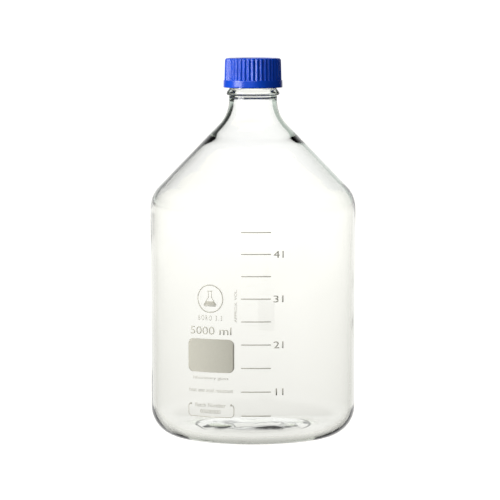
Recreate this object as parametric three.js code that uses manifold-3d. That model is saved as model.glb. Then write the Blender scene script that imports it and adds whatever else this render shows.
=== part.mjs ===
// A five litre laboratory reagent bottle with a 45 mm screw cap.
// Millimetres, +Z up, origin where the bottle's axis meets the bench. The print faces -Y.
// The cap is shown closed. It unscrews anticlockwise, seen from above, and rises one pitch a turn.
import * as THREE from "three";
import { mergeVertices } from "three/addons/utils/BufferGeometryUtils.js";
import Module from "manifold-3d";

const wasm = await Module();
wasm.setup();

// ---- Driving dimensions ----

// Glass body, outside
const bodyRadius = 90.3;
const shoulderSwell = 0.6; // the blown wall grows this much wider up to the shoulder
const swellStart = 120;
const cornerRound = 26.5; // between the wall and the foot
const footInnerRadius = 51; // the foot is the flat ring outside this
const pushUp = 7; // rise of the base's middle above the bench
const shoulderStart = 202.2; // height where the wall starts to turn in
const shoulderRound = 27.6;
const coneAngle = THREE.MathUtils.degToRad(44); // slope of the shoulder, from the axis
const neckFillet = 30.8;
const neckStep = 0.2; // the neck is this much larger in radius than the thread's root
const neckLength = 4.33; // straight neck between the fillet and the bead

// Glass, inside
const wall = 3.5;
const baseWall = 5;
const mouthRadius = 15;

// Neck bead and finish
const beadRise = 1; // the bead stands this far out past the thread's crest
const beadHeight = 5.6;
const beadTuck = 1.5; // height from the bead's foot to its widest line
const beadLip = 0.5; // how far the bead's lower corner is drawn in
const beadBack = 0.7; // how far its upper side has fallen back at three fifths of its height
const pitch = 4; // 45 mm round thread
const threadMajor = 22.5;
const threadDepth = 1.4;
const threadTurns = 1.75;
const threadRootWidth = 2.4;
const threadCrestWidth = 1;
const threadToRim = 7.2; // from the middle of the thread's top end up to the rim
const rimStep = 1.5; // the rim bead is this much smaller in radius than the thread's root
const rimBeadHeight = 2.6;
const rimGrooveDepth = 0.7;
const rimGrooveHeight = 1.9;
const rimGrooveSlope = 1; // height of the slope from the groove down to the thread's root
const rimBeadSlope = 0.5; // height of the slope from the groove up to the rim bead
const rimRoundWanted = 1.2;

// Cap
const capHeight = 26;
const capToBead = 1.2; // between the bead and the skirt's lower edge
const capSkirtWall = 2.4; // from the thread's root out to the ribs' crests
const capRibDepth = 0.6;
const capRibs = 40;
const capBandStep = 0.9; // the smooth band below the ribs stands out past them
const capBandHeight = 6.4;
const capBandChamfer = 0.3;
const capEdgeRound = 2.4;
const capTopWall = 2.2;
const capThreadTurns = 1.5;
const capThreadRootWidth = 2;
const capThreadCrestWidth = 0.9;
const threadCrestGap = 0.35; // radial clearance of either thread's crest to the other's root
const threadFlankGap = 0.35; // between the flanks that bear on each other when the cap is tight
const threadEmbed = 0.6; // depth that a thread's ridge is sunk into its wall
const threadRunOut = THREE.MathUtils.degToRad(25); // turn over which a ridge rises from its wall

// Cap seal
const sealThickness = 1.2;
const sealGap = 0.1; // to the cap's top above and to the pouring ring below
const sealRim = 0.45; // radial gap of the seal in its seat
const sealLipDepth = 2.4; // the plug lip that reaches into the mouth
const sealLipThickness = 1.3;
const sealLipGap = 0.5;
const sealChamfer = 0.3;

// Pouring ring
const ringWall = 0.95;
const ringFit = 0.1; // radial gap over the rim
const ringSkirt = 4.2;
const ringLip = 0.8; // rise of its pouring edge
const ringToThread = 0.6; // radial gap that lets the cap's thread pass over the ring
const ringChamfer = 0.3;

// Fired enamel
const enamelGap = 0.03; // between the enamel's inner face and the glass facets
const enamelFilm = 0.15;
const markCount = 9;
const markStep = 500; // millilitres
const markLowest = 28.1;
const markTopGap = 15.2; // from the highest mark up to the start of the shoulder
const markCrowding = 0.0067; // the wall thins with height, so the marks draw together by this share
const markWidth = 25.8;
const markThickness = 0.95;
const markOffset = 2.6; // from the front line to the middle of the marks, to the right
const columnOffset = -38.3; // the print column's middle, to the left
const fieldWidth = 43.5;
const fieldBottom = 65.2;
const fieldHeight = 29;
const fieldRound = 4.2;
const codeBottom = 26.2;
const codeHeight = 11.4;
const codeRound = 3.6;
const codeStroke = 0.8;
const codeDot = 0.95; // radius of the dots that end the frame's stroke
const codeDotInset = 2.8; // from the frame's side to its dots
const symbolMiddle = 129.2;
const symbolRadius = 12.3;
const symbolStroke = 1.1;

// Facets
const glassSegments = 48;
const capSegments = 2 * capRibs;
const threadSegments = 36; // each turn
const printSegments = 6; // each rounded corner
const joinDepth = 1; // how far a solid runs into or past another that it is joined to or cut from

// ---- Sizes that follow from them ----

const threadMinor = threadMajor - threadDepth;
const neckRadius = threadMinor + neckStep;
const beadRadius = threadMajor + beadRise;
const rimRadius = threadMinor - rimStep;
const rimGrooveRadius = rimRadius - rimGrooveDepth;
const rimRound = Math.min(rimRoundWanted, (rimRadius - mouthRadius) / 2); // its wall's half at most
const shoulderRadius = bodyRadius + shoulderSwell;
const shoulderEnd = new THREE.Vector2(
  shoulderRadius - shoulderRound * (1 - Math.cos(coneAngle)),
  shoulderStart + shoulderRound * Math.sin(coneAngle),
);
const filletStartRadius = neckRadius + neckFillet * (1 - Math.cos(coneAngle));
const coneRise = (shoulderEnd.x - filletStartRadius) / Math.tan(coneAngle);
const neckStart = shoulderEnd.y + coneRise + neckFillet * Math.sin(coneAngle);
const beadBottom = neckStart + neckLength;
const beadTop = beadBottom + beadHeight;
const capBottom = beadTop + capToBead;
const capTop = capBottom + capHeight;
const capCeiling = capTop - capTopWall;
const sealTop = capCeiling - sealGap;
const sealBottom = sealTop - sealThickness;
const ringTop = sealBottom - sealGap;
const rim = ringTop - ringLip - ringFit;
const threadTop = rim - threadToRim;
const threadBottom = threadTop - pitch * threadTurns;
const capThreadMinor = threadMinor + threadCrestGap;
const capThreadMajor = threadMajor + threadCrestGap;
const capRibRadius = capThreadMajor + capSkirtWall;
const capBandRadius = capRibRadius + capBandStep;
const ringRadius = capThreadMinor - ringToThread;
const sealSeatRadius = ringRadius + ringFit + sealRim;

// ---- Making solids ----

function toSolid(geometry) {
  const bare = geometry.clone();
  bare.deleteAttribute("normal");
  bare.deleteAttribute("uv");
  const merged = mergeVertices(bare, 1e-4);
  const corners = merged.index.array;
  const kept = [];
  for (let i = 0; i < corners.length; i += 3) {
    const [a, b, c] = [corners[i], corners[i + 1], corners[i + 2]];
    if (a !== b && b !== c && c !== a) kept.push(a, b, c);
  }
  const vertProperties = merged.attributes.position.array;
  const triVerts = new Uint32Array(kept);
  return new wasm.Manifold(new wasm.Mesh({ numProp: 3, vertProperties, triVerts }));
}

function toGeometry(solid) {
  const mesh = solid.getMesh();
  const geometry = new THREE.BufferGeometry();
  geometry.setAttribute("position", new THREE.BufferAttribute(mesh.vertProperties, 3));
  geometry.setIndex(new THREE.BufferAttribute(mesh.triVerts, 1));
  geometry.computeVertexNormals();
  return geometry;
}

// A solid of revolution about Z. The outline runs up its outside and back down its inside.
function turned(outline, segments) {
  const profile = outline.map(([radius, height]) => new THREE.Vector2(radius, height));
  return toSolid(new THREE.LatheGeometry(profile, segments).rotateX(Math.PI / 2));
}

function arc(centreRadius, centreHeight, radius, fromAngle, toAngle, steps) {
  const points = [];
  for (let i = 0; i <= steps; i += 1) {
    const angle = fromAngle + ((toAngle - fromAngle) * i) / steps;
    points.push([centreRadius + radius * Math.cos(angle), centreHeight + radius * Math.sin(angle)]);
  }
  return points;
}

// A thread's ridge: a bar bent round the axis on a right-handed helix, fading out at both ends.
// An outside thread has its crest further out than its root, an inside thread further in.
function screwRidge({ root, crest, rootWidth, crestWidth, turns, bottom }) {
  const outside = crest > root;
  const sunkRoot = outside ? root - threadEmbed : root + threadEmbed;
  const sunkCrest = THREE.MathUtils.lerp(root, sunkRoot, 1 / 3);
  const sweep = turns * 2 * Math.PI;
  const bar = new THREE.BoxGeometry(1, 1, 1, Math.round(turns * threadSegments), 1, 1);
  const place = bar.attributes.position;
  for (let i = 0; i < place.count; i += 1) {
    const along = 0.5 - place.getX(i);
    const atCrest = place.getY(i) > 0 === outside;
    const turn = along * sweep;
    const fade = Math.min(1, Math.min(turn, sweep - turn) / threadRunOut);
    const radius = atCrest ? THREE.MathUtils.lerp(sunkCrest, crest, fade) : sunkRoot;
    const width = atCrest ? crestWidth : rootWidth;
    const height = bottom + (pitch * turn) / (2 * Math.PI) + width * place.getZ(i);
    place.setXYZ(i, radius * Math.cos(turn), radius * Math.sin(turn), height);
  }
  return toSolid(bar);
}

// ---- Glass bottle ----

function wallRadius(height) {
  const rise = THREE.MathUtils.smoothstep(height, swellStart, shoulderStart);
  return bodyRadius + shoulderSwell * rise;
}

// The wall's outside from the foot's edge up to the start of the shoulder.
function outerWall() {
  const points = arc(bodyRadius - cornerRound, cornerRound, cornerRound, -Math.PI / 2, 0, 6);
  const rows = 6;
  for (let i = 1; i <= rows; i += 1) {
    const height = cornerRound + ((shoulderStart - cornerRound) * i) / rows;
    points.push([wallRadius(height), height]);
  }
  return points;
}

function outerShoulder() {
  const shoulder = arc(shoulderRadius - shoulderRound, shoulderStart, shoulderRound, 0, coneAngle, 4);
  const fillet = arc(neckRadius + neckFillet, neckStart, neckFillet, Math.PI + coneAngle, Math.PI, 5);
  return [...shoulder.slice(1), ...fillet];
}

function beadAndRim() {
  const grooveTop = rim - rimBeadHeight;
  const grooveBottom = grooveTop - rimGrooveHeight;
  return [
    [neckRadius, beadBottom],
    [beadRadius - beadLip, beadBottom + beadTuck / 3],
    [beadRadius, beadBottom + beadTuck],
    [beadRadius - beadBack, beadBottom + beadHeight * 0.6],
    [threadMinor, beadTop],
    [threadMinor, grooveBottom - rimGrooveSlope],
    [rimGrooveRadius, grooveBottom],
    [rimGrooveRadius, grooveTop],
    [rimRadius, grooveTop + rimBeadSlope],
    ...arc(rimRadius - rimRound, rim - rimRound, rimRound, 0, Math.PI / 2, 2),
    ...arc(mouthRadius + rimRound, rim - rimRound, rimRound, Math.PI / 2, Math.PI, 2),
  ];
}

function glassInside() {
  const insideRadius = neckRadius - wall;
  const innerCorner = cornerRound - wall;
  return [
    [mouthRadius, threadBottom],
    [insideRadius, beadBottom - neckLength],
    ...arc(neckRadius + neckFillet, neckStart, neckFillet + wall, Math.PI, Math.PI + coneAngle, 4),
    ...arc(shoulderRadius - shoulderRound, shoulderStart, shoulderRound - wall, coneAngle, 0, 4),
    [wallRadius(swellStart) - wall, swellStart],
    ...arc(bodyRadius - cornerRound, baseWall + innerCorner, innerCorner, 0, -Math.PI / 2, 5),
    ...dome(baseWall).reverse(),
  ];
}

// The base's push-up, from the axis out to the foot, raised by a height.
function dome(height) {
  const rows = 5;
  const points = [];
  for (let i = 0; i <= rows; i += 1) {
    const share = Math.sqrt(i / rows);
    points.push([footInnerRadius * share, height + pushUp * (1 - share ** 2)]);
  }
  return points;
}

function makeGlass() {
  const outline = [
    ...dome(0),
    ...outerWall(),
    ...outerShoulder(),
    ...beadAndRim(),
    ...glassInside(),
  ];
  const thread = screwRidge({
    root: threadMinor,
    crest: threadMajor,
    rootWidth: threadRootWidth,
    crestWidth: threadCrestWidth,
    turns: threadTurns,
    bottom: threadBottom,
  });
  return turned(outline, glassSegments).add(thread);
}

// ---- Pouring ring, seal and cap ----

function makePouringRing() {
  const boreRadius = mouthRadius + rimRound;
  const insideRadius = rimRadius + ringFit;
  const skirtBottom = rim - ringSkirt;
  const snap = [rimGrooveRadius + ringFit, skirtBottom];
  return turned(
    [
      snap,
      [ringRadius - ringChamfer, skirtBottom],
      [ringRadius, skirtBottom + ringChamfer],
      [ringRadius, ringTop],
      [ringRadius - ringChamfer, ringTop],
      [ringRadius - ringWall, rim + ringFit + ringWall / 2],
      [boreRadius, rim + ringFit + ringWall / 3],
      [boreRadius, rim + ringFit],
      [insideRadius, rim + ringFit],
      [insideRadius, rim - rimBeadHeight],
      [snap[0], rim - rimBeadHeight - rimBeadSlope],
      snap,
    ],
    glassSegments,
  );
}

function makeSeal() {
  const edge = sealSeatRadius - sealRim;
  const lipRadius = mouthRadius - sealLipGap;
  return turned(
    [
      [0, sealBottom],
      [lipRadius - sealLipThickness, sealBottom],
      [lipRadius - sealLipThickness * 0.7, sealBottom - sealLipDepth],
      [lipRadius - sealLipThickness * 0.3, sealBottom - sealLipDepth],
      [lipRadius, sealBottom],
      [edge - sealChamfer, sealBottom],
      [edge, sealBottom + sealChamfer],
      [edge, sealTop - sealChamfer],
      [edge - sealChamfer, sealTop],
      [0, sealTop],
    ],
    glassSegments,
  );
}

// The ribbed wall seen from above: one rounded rib to each groove, repeated round the cap.
function ribbedOutline() {
  const pointsPerRib = 4;
  const points = [];
  for (let i = 0; i < capRibs * pointsPerRib; i += 1) {
    const angle = (i / (capRibs * pointsPerRib)) * 2 * Math.PI;
    const rise = (1 + Math.cos(angle * capRibs)) / 2;
    const radius = capRibRadius - capRibDepth * (1 - rise);
    points.push(new THREE.Vector2(radius * Math.cos(angle), radius * Math.sin(angle)));
  }
  return new THREE.Shape(points);
}

function makeCap() {
  const bandTop = capBottom + capBandHeight;
  const ribs = new THREE.ExtrudeGeometry(ribbedOutline(), {
    depth: capTop - bandTop + joinDepth,
    bevelEnabled: false,
  }).translate(0, 0, bandTop - joinDepth);
  const envelope = turned(
    [
      [0, capBottom],
      [capRibRadius, capBottom],
      ...arc(capRibRadius - capEdgeRound, capTop - capEdgeRound, capEdgeRound, 0, Math.PI / 2, 4),
      [0, capTop],
    ],
    capSegments,
  );
  const band = turned(
    [
      [0, capBottom],
      [capBandRadius - capBandChamfer, capBottom],
      [capBandRadius, capBottom + capBandChamfer],
      [capBandRadius, bandTop - capBandChamfer],
      [capBandRadius - capBandChamfer, bandTop],
      [0, bandTop],
    ],
    capSegments,
  );
  const seatBottom = sealBottom - sealGap / 2;
  const hollow = turned(
    [
      [0, capBottom - joinDepth],
      [capThreadMajor, capBottom - joinDepth],
      [capThreadMajor, seatBottom],
      [sealSeatRadius, seatBottom],
      [sealSeatRadius, capCeiling],
      [0, capCeiling],
    ],
    capSegments,
  );
  const thread = screwRidge({
    root: capThreadMajor,
    crest: capThreadMinor,
    rootWidth: capThreadRootWidth,
    crestWidth: capThreadCrestWidth,
    turns: capThreadTurns,
    bottom: threadBottom - threadStep(),
  });
  return toSolid(ribs).intersect(envelope).add(band).subtract(hollow).add(thread);
}

// How far the cap's thread lies below the bottle's, so that their flanks almost touch.
function threadStep() {
  const middle = (threadMajor + capThreadMinor) / 2;
  const bottleShare = (middle - threadMinor) / (threadMajor - threadMinor);
  const capShare = (capThreadMajor - middle) / (capThreadMajor - capThreadMinor);
  const bottleWidth = THREE.MathUtils.lerp(threadRootWidth, threadCrestWidth, bottleShare);
  const capWidth = THREE.MathUtils.lerp(capThreadRootWidth, capThreadCrestWidth, capShare);
  return (bottleWidth + capWidth) / 2 + threadFlankGap;
}

// ---- Fired enamel print ----

// A thin skin just outside the wall, which the print's outlines are cut from.
const enamelSkin = makeEnamelSkin();

function makeEnamelSkin() {
  const lowest = cornerRound / 2;
  const rows = [...outerWall(), ...outerShoulder()].filter(
    ([radius, height]) => height > lowest && radius > shoulderEnd.x - enamelFilm,
  );
  const inside = rows.map(([radius, height]) => [radius + enamelGap, height]);
  const outside = rows.map(([radius, height]) => [radius + enamelGap + enamelFilm, height]);
  return turned([...outside, ...inside.reverse(), outside[0]], glassSegments);
}

// Cuts a flat outline's shape out of the skin. The offset is measured round the wall, to the right.
function printed(outlines, offset, height) {
  const reach = 2 * bodyRadius;
  const [first, ...cuts] = outlines.map((outline) => {
    const prism = new THREE.ExtrudeGeometry(outline, {
      depth: reach,
      bevelEnabled: false,
      curveSegments: printSegments,
    });
    prism.rotateX(Math.PI / 2);
    prism.translate(0, 0, height);
    prism.rotateZ(offset / bodyRadius);
    return toSolid(prism);
  });
  return cuts.reduce((left, cut) => left.subtract(cut), first).intersect(enamelSkin);
}

function roundedBox(width, height, round) {
  const box = new THREE.Shape();
  const [x, y] = [width / 2, height / 2];
  box.moveTo(-x + round, -y);
  box.lineTo(x - round, -y);
  box.absarc(x - round, -y + round, round, -Math.PI / 2, 0);
  box.lineTo(x, y - round);
  box.absarc(x - round, y - round, round, 0, Math.PI / 2);
  box.lineTo(-x + round, y);
  box.absarc(-x + round, y - round, round, Math.PI / 2, Math.PI);
  box.lineTo(-x, -y + round);
  box.absarc(-x + round, -y + round, round, Math.PI, Math.PI * 1.5);
  return box;
}

function plainBox(width, height, middleHeight) {
  const [x, y] = [width / 2, height / 2];
  return new THREE.Shape([
    new THREE.Vector2(-x, middleHeight - y),
    new THREE.Vector2(x, middleHeight - y),
    new THREE.Vector2(x, middleHeight + y),
    new THREE.Vector2(-x, middleHeight + y),
  ]);
}

function disc(radius, x, y) {
  return new THREE.Shape().absarc(x, y, radius, 0, Math.PI * 2);
}

// The frame round the batch code is open along its top, between two dots.
function makeCodeFrame() {
  const rims = 2 * codeStroke;
  const gap = fieldWidth - 2 * codeDotInset;
  const outlines = [
    roundedBox(fieldWidth, codeHeight, codeRound),
    roundedBox(fieldWidth - rims, codeHeight - rims, codeRound - codeStroke),
    plainBox(gap, 2 * rims, codeHeight / 2),
  ];
  const middle = codeBottom + codeHeight / 2;
  const frame = printed(outlines, columnOffset, middle);
  const dotHeight = (codeHeight - codeStroke) / 2;
  return [-gap / 2, gap / 2].reduce(
    (left, x) => left.add(printed([disc(codeDot, x, dotHeight)], columnOffset, middle)),
    frame,
  );
}

// A conical flask's outline, drawn about its middle, one unit to the symbol's radius.
function flaskOutline(size) {
  const half = [
    [0.17, 0.52],
    [0.17, 0.12],
    [0.5, -0.42],
    [0.44, -0.52],
  ];
  const right = half.map(([x, y]) => new THREE.Vector2(x * size, y * size));
  const left = half.map(([x, y]) => new THREE.Vector2(-x * size, y * size));
  return new THREE.Shape([...left, ...right.reverse()]);
}

function makeMark(index) {
  const last = markCount - 1;
  const share = (index - markCrowding * index ** 2) / (last - markCrowding * last ** 2);
  const height = THREE.MathUtils.lerp(markLowest, shoulderStart - markTopGap, share);
  return printed([plainBox(markWidth, markThickness, 0)], markOffset, height);
}

// ---- The bottle, put together ----

const glass = { color: 0xf2f5f1, roughness: 0.04, metalness: 0 };
const clearPlastic = { color: 0x2f6fd0, roughness: 0.4, metalness: 0 };
const softPlastic = { color: 0xe9e7df, roughness: 0.5, metalness: 0 };
const bluePlastic = { color: 0x0a3cb8, roughness: 0.35, metalness: 0 };
const enamel = { color: 0xc3c0b4, roughness: 0.6, metalness: 0 };

const bottle = new THREE.Group();

function addPiece(name, solid, look) {
  const mesh = new THREE.Mesh(toGeometry(solid), new THREE.MeshStandardMaterial(look));
  mesh.name = name;
  bottle.add(mesh);
}

addPiece("glass_bottle", makeGlass(), glass);
addPiece("pouring_ring", makePouringRing(), clearPlastic);
addPiece("cap_seal", makeSeal(), softPlastic);
addPiece("screw_cap", makeCap(), bluePlastic);

const fieldBox = roundedBox(fieldWidth, fieldHeight, fieldRound);
addPiece("writing_field", printed([fieldBox], columnOffset, fieldBottom + fieldHeight / 2), enamel);
addPiece("code_frame", makeCodeFrame(), enamel);
const symbolDiscs = [disc(symbolRadius, 0, 0), disc(symbolRadius - symbolStroke, 0, 0)];
addPiece("symbol_ring", printed(symbolDiscs, columnOffset, symbolMiddle), enamel);
addPiece("symbol_flask", printed([flaskOutline(symbolRadius)], columnOffset, symbolMiddle), enamel);
for (let index = 0; index < markCount; index += 1) {
  addPiece(`mark_${markStep * (index + 1)}_ml`, makeMark(index), enamel);
}

export default bottle;
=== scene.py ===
"""The looks of a five litre laboratory bottle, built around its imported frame.

Lengths are in metres, +Z is up, and the print faces -Y. Distances along the print are measured
round the wall from the front line, with + to the right.
"""

import math

import bmesh
import bpy
from mathutils import Matrix, Vector, noise


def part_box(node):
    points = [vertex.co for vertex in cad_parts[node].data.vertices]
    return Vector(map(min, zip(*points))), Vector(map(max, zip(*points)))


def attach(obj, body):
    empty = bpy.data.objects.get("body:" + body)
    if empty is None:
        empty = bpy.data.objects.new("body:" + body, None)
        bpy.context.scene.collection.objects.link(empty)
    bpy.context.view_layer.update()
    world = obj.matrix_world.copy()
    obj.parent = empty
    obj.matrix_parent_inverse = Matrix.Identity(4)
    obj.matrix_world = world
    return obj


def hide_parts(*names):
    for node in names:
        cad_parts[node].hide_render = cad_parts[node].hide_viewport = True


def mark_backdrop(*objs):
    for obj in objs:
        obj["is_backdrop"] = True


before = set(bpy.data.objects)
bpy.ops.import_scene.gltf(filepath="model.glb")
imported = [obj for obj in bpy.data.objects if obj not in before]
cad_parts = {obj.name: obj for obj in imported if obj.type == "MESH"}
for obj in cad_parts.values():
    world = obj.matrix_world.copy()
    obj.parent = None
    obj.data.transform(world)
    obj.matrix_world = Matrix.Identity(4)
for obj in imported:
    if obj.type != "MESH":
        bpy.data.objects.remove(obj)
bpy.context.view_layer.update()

bl_info = {
    "name": "Laboratory bottle",
    "version": (1, 0, 0),
    "blender": (4, 5, 0),
    "location": "3D View > Sidebar > Bottle",
    "description": "Makes the glass, cap, seal and enamel print of a five litre laboratory bottle",
    "category": "Object",
}

# ---- Sizes taken from the frame ----

glass_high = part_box("glass_bottle")[1]
ring_low, ring_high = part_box("pouring_ring")
seal_low, seal_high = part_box("cap_seal")
cap_low, cap_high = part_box("screw_cap")
field_low, field_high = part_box("writing_field")
code_low, code_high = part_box("code_frame")
symbol_low, symbol_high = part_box("symbol_ring")
MARKS = sorted((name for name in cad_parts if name.startswith("mark_")), key=lambda n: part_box(n)[0].z)

SHOULDER_RADIUS = glass_high.x
RIM = glass_high.z
CAP_BOTTOM = cap_low.z
CAP_TOP = cap_high.z
BAND_RADIUS = cap_high.x
BAND_TOP = CAP_BOTTOM + 0.0064
RIB_RADIUS = 0.02525

# ---- Sizes of the glass ----

BODY_RADIUS = SHOULDER_RADIUS - 0.0006
SWELL_START = 0.120
SHOULDER_START = 0.2022
SHOULDER_ROUND = 0.0276
SHOULDER_STEPS = 14
CONE_ANGLE = math.radians(44)
CORNER_ROUND = 0.0265
FOOT_INNER_RADIUS = 0.051
PUSH_UP = 0.007
NECK_RADIUS = 0.0213
NECK_FILLET = 0.0308
NECK_START = 0.297868
BEAD_BOTTOM = CAP_BOTTOM - 0.0068
BEAD_RADIUS = 0.0235
BEAD_TOP = BEAD_BOTTOM + 0.0056
MOUTH_RADIUS = 0.015
THREAD_MAJOR = 0.0225
THREAD_MINOR = 0.0211
THREAD_PITCH = 0.004
THREAD_TURNS = 1.75
THREAD_TOP = RIM - 0.0072
THREAD_BOTTOM = THREAD_TOP - THREAD_PITCH * THREAD_TURNS
THREAD_RUN_OUT = math.radians(25)


class GlassSettings(bpy.types.PropertyGroup):
    """Sizes and tint of the blown glass."""

    wall: bpy.props.FloatProperty(
        name="Wall", description="Thickness of the wall", default=0.0035, unit="LENGTH"
    )
    base_wall: bpy.props.FloatProperty(
        name="Base", description="Thickness of the base", default=0.005, unit="LENGTH"
    )
    ripple: bpy.props.FloatProperty(
        name="Ripple",
        description="How far the blown inner wall wanders from a true circle",
        default=0.00016,
        unit="LENGTH",
    )
    tint: bpy.props.StringProperty(
        name="Tint", description="Colour of light that has crossed thick glass", default="#E3E8DC"
    )


class CapSettings(bpy.types.PropertyGroup):
    """Sizes and colour of the moulded screw cap."""

    ribs: bpy.props.IntProperty(name="Ribs", description="Ribs round the cap", default=40, min=3)
    rib_depth: bpy.props.FloatProperty(
        name="Rib depth", description="Height of a rib above its groove", default=0.0011, unit="LENGTH"
    )
    draft: bpy.props.FloatProperty(
        name="Draft", description="How far the ribbed wall leans in", default=0.0005, unit="LENGTH"
    )
    colour: bpy.props.StringProperty(
        name="Colour", description="Colour of the cap's plastic", default="#003CB0"
    )


class PrintSettings(bpy.types.PropertyGroup):
    """Sizes and colour of the fired enamel."""

    film: bpy.props.FloatProperty(
        name="Film", description="Thickness of the enamel", default=0.00005, unit="LENGTH"
    )
    gap: bpy.props.FloatProperty(
        name="Gap", description="Distance from the glass to the enamel", default=0.00003, unit="LENGTH"
    )
    colour: bpy.props.StringProperty(name="Colour", description="Colour of the enamel", default="#A09E92")


class StudioSettings(bpy.types.PropertyGroup):
    """The camera's place and the strength of the light."""

    distance: bpy.props.FloatProperty(
        name="Distance", description="From the bottle's axis to the camera", default=2.8, unit="LENGTH"
    )
    height: bpy.props.FloatProperty(
        name="Height", description="Camera above the bench", default=0.3896, unit="LENGTH"
    )
    tilt: bpy.props.FloatProperty(
        name="Tilt",
        description="How far the camera looks down",
        default=math.radians(4.591),
        subtype="ANGLE",
    )
    lens: bpy.props.FloatProperty(name="Lens", description="Focal length in mm", default=227.8)
    key: bpy.props.FloatProperty(name="Key light", description="Power of the softbox", default=38.0)


# ---- Colours, nodes and meshes ----


def linear(text):
    """An sRGB hex colour as linear red, green, blue and alpha."""
    channels = [int(text[i : i + 2], 16) / 255 for i in (1, 3, 5)]
    bright = [c / 12.92 if c <= 0.04045 else ((c + 0.055) / 1.055) ** 2.4 for c in channels]
    return (*bright, 1)


def add_node(tree, kind, inputs=None, **settings):
    """Adds a node with its settings. An input takes a constant, another node's socket, or another
    node, which stands for its first output."""
    node = tree.nodes.new(kind)
    for name, value in settings.items():
        setattr(node, name, value)
    for key, value in (inputs or {}).items():
        if isinstance(value, bpy.types.Node):
            value = value.outputs[0]
        if isinstance(value, bpy.types.NodeSocket):
            tree.links.new(value, node.inputs[key])
        else:
            node.inputs[key].default_value = value
    return node


def new_material(name):
    """An empty material and its node tree."""
    material = bpy.data.materials.new(name)
    material.use_nodes = True
    material.node_tree.nodes.clear()
    return material, material.node_tree


def object_from(name, points, faces, material, sharp=35):
    """An object at the origin with those points and faces."""
    mesh = bpy.data.meshes.new(name)
    mesh.from_pydata(points, [], faces)
    mesh.validate()
    return object_of(name, mesh, material, sharp)


def object_of(name, mesh, material, sharp=35):
    """An object that shows a mesh, smooth but for edges that turn by more than an angle."""
    mesh.polygons.foreach_set("use_smooth", [True] * len(mesh.polygons))
    mesh.set_sharp_from_angle(angle=math.radians(sharp))
    mesh.materials.clear()
    mesh.materials.append(material)
    piece = bpy.data.objects.new(name, mesh)
    bpy.context.scene.collection.objects.link(piece)
    return piece


def evaluated_mesh(piece):
    """The piece's mesh with its modifiers applied."""
    bpy.context.view_layer.update()
    graph = bpy.context.evaluated_depsgraph_get()
    return bpy.data.meshes.new_from_object(piece.evaluated_get(graph), depsgraph=graph)


def settle(piece):
    """Takes the modifiers' result as the piece's own mesh, and removes the modifiers."""
    mesh = evaluated_mesh(piece)
    piece.modifiers.clear()
    piece.data = mesh
    return piece


def belongs(piece, body, slot, *nodes):
    """Makes a piece ride with a body and stand for CAD nodes, which it hides. slot is not used."""
    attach(piece, body)
    if nodes:
        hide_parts(*nodes)
    return piece


def arc(centre_radius, centre_height, radius, start, end, steps):
    """Points on an arc in the plane of radius and height."""
    angles = [start + (end - start) * i / steps for i in range(steps + 1)]
    return [(centre_radius + radius * math.cos(a), centre_height + radius * math.sin(a)) for a in angles]


def straight(start, end, steps):
    """Points from start to end, both ends included."""
    shares = [i / steps for i in range(steps + 1)]
    return [(start[0] + (end[0] - start[0]) * s, start[1] + (end[1] - start[1]) * s) for s in shares]


def flowing(knots, steps):
    """Points on a smooth curve through the knots, a Catmull-Rom spline."""
    points = []
    padded = [knots[0], *knots, knots[-1]]
    for before, start, end, after in zip(padded, padded[1:], padded[2:], padded[3:]):
        for t in (i / steps for i in range(steps)):
            point = []
            for p, q, r, s in zip(before, start, end, after):
                bend = (2 * p - 5 * q + 4 * r - s) * t**2 + (3 * q - p - 3 * r + s) * t**3
                point.append(0.5 * (2 * q + (r - p) * t + bend))
            points.append(tuple(point))
    return [*points, knots[-1]]


def tidied(outline):
    """The outline without points that repeat the one before."""
    kept = [outline[0]]
    for point in outline[1:]:
        if math.dist(point, kept[-1]) > 1e-6:
            kept.append(point)
    return kept


def revolve(name, outline, segments, material, shape=None, sharp=35, closed=False):
    """Turns an outline about Z. The solid lies on the left of the outline's way.

    shape moves a point: it takes its angle, radius, height and row, and gives a radius and height.
    An outline that isn't closed starts and ends on the axis.
    """
    outline = tidied(outline)
    rings = outline if closed else outline[1:-1]
    points, faces = [], []
    for row, (radius, height) in enumerate(rings):
        for column in range(segments):
            angle = 2 * math.pi * column / segments
            r, z = shape(angle, radius, height, row) if shape else (radius, height)
            points.append((r * math.cos(angle), r * math.sin(angle), z))
    pairs = list(zip(range(len(rings)), range(1, len(rings))))
    if closed:
        pairs.append((len(rings) - 1, 0))
    for low, high in pairs:
        a, b = low * segments, high * segments
        for column in range(segments):
            after = (column + 1) % segments
            faces.append((a + column, a + after, b + after, b + column))
    if not closed:
        first, last = len(points), len(points) + 1
        points += [(0, 0, outline[0][1]), (0, 0, outline[-1][1])]
        top = (len(rings) - 1) * segments
        for column in range(segments):
            after = (column + 1) % segments
            faces.append((first, after, column))
            faces.append((last, top + column, top + after))
    return object_from(name, points, faces, material, sharp)


def smooth_step(value, low, high):
    """A share that rises smoothly from 0 to 1 as a value goes from low to high."""
    share = min(max((value - low) / (high - low), 0), 1)
    return share * share * (3 - 2 * share)


# ---- Materials ----


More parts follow.
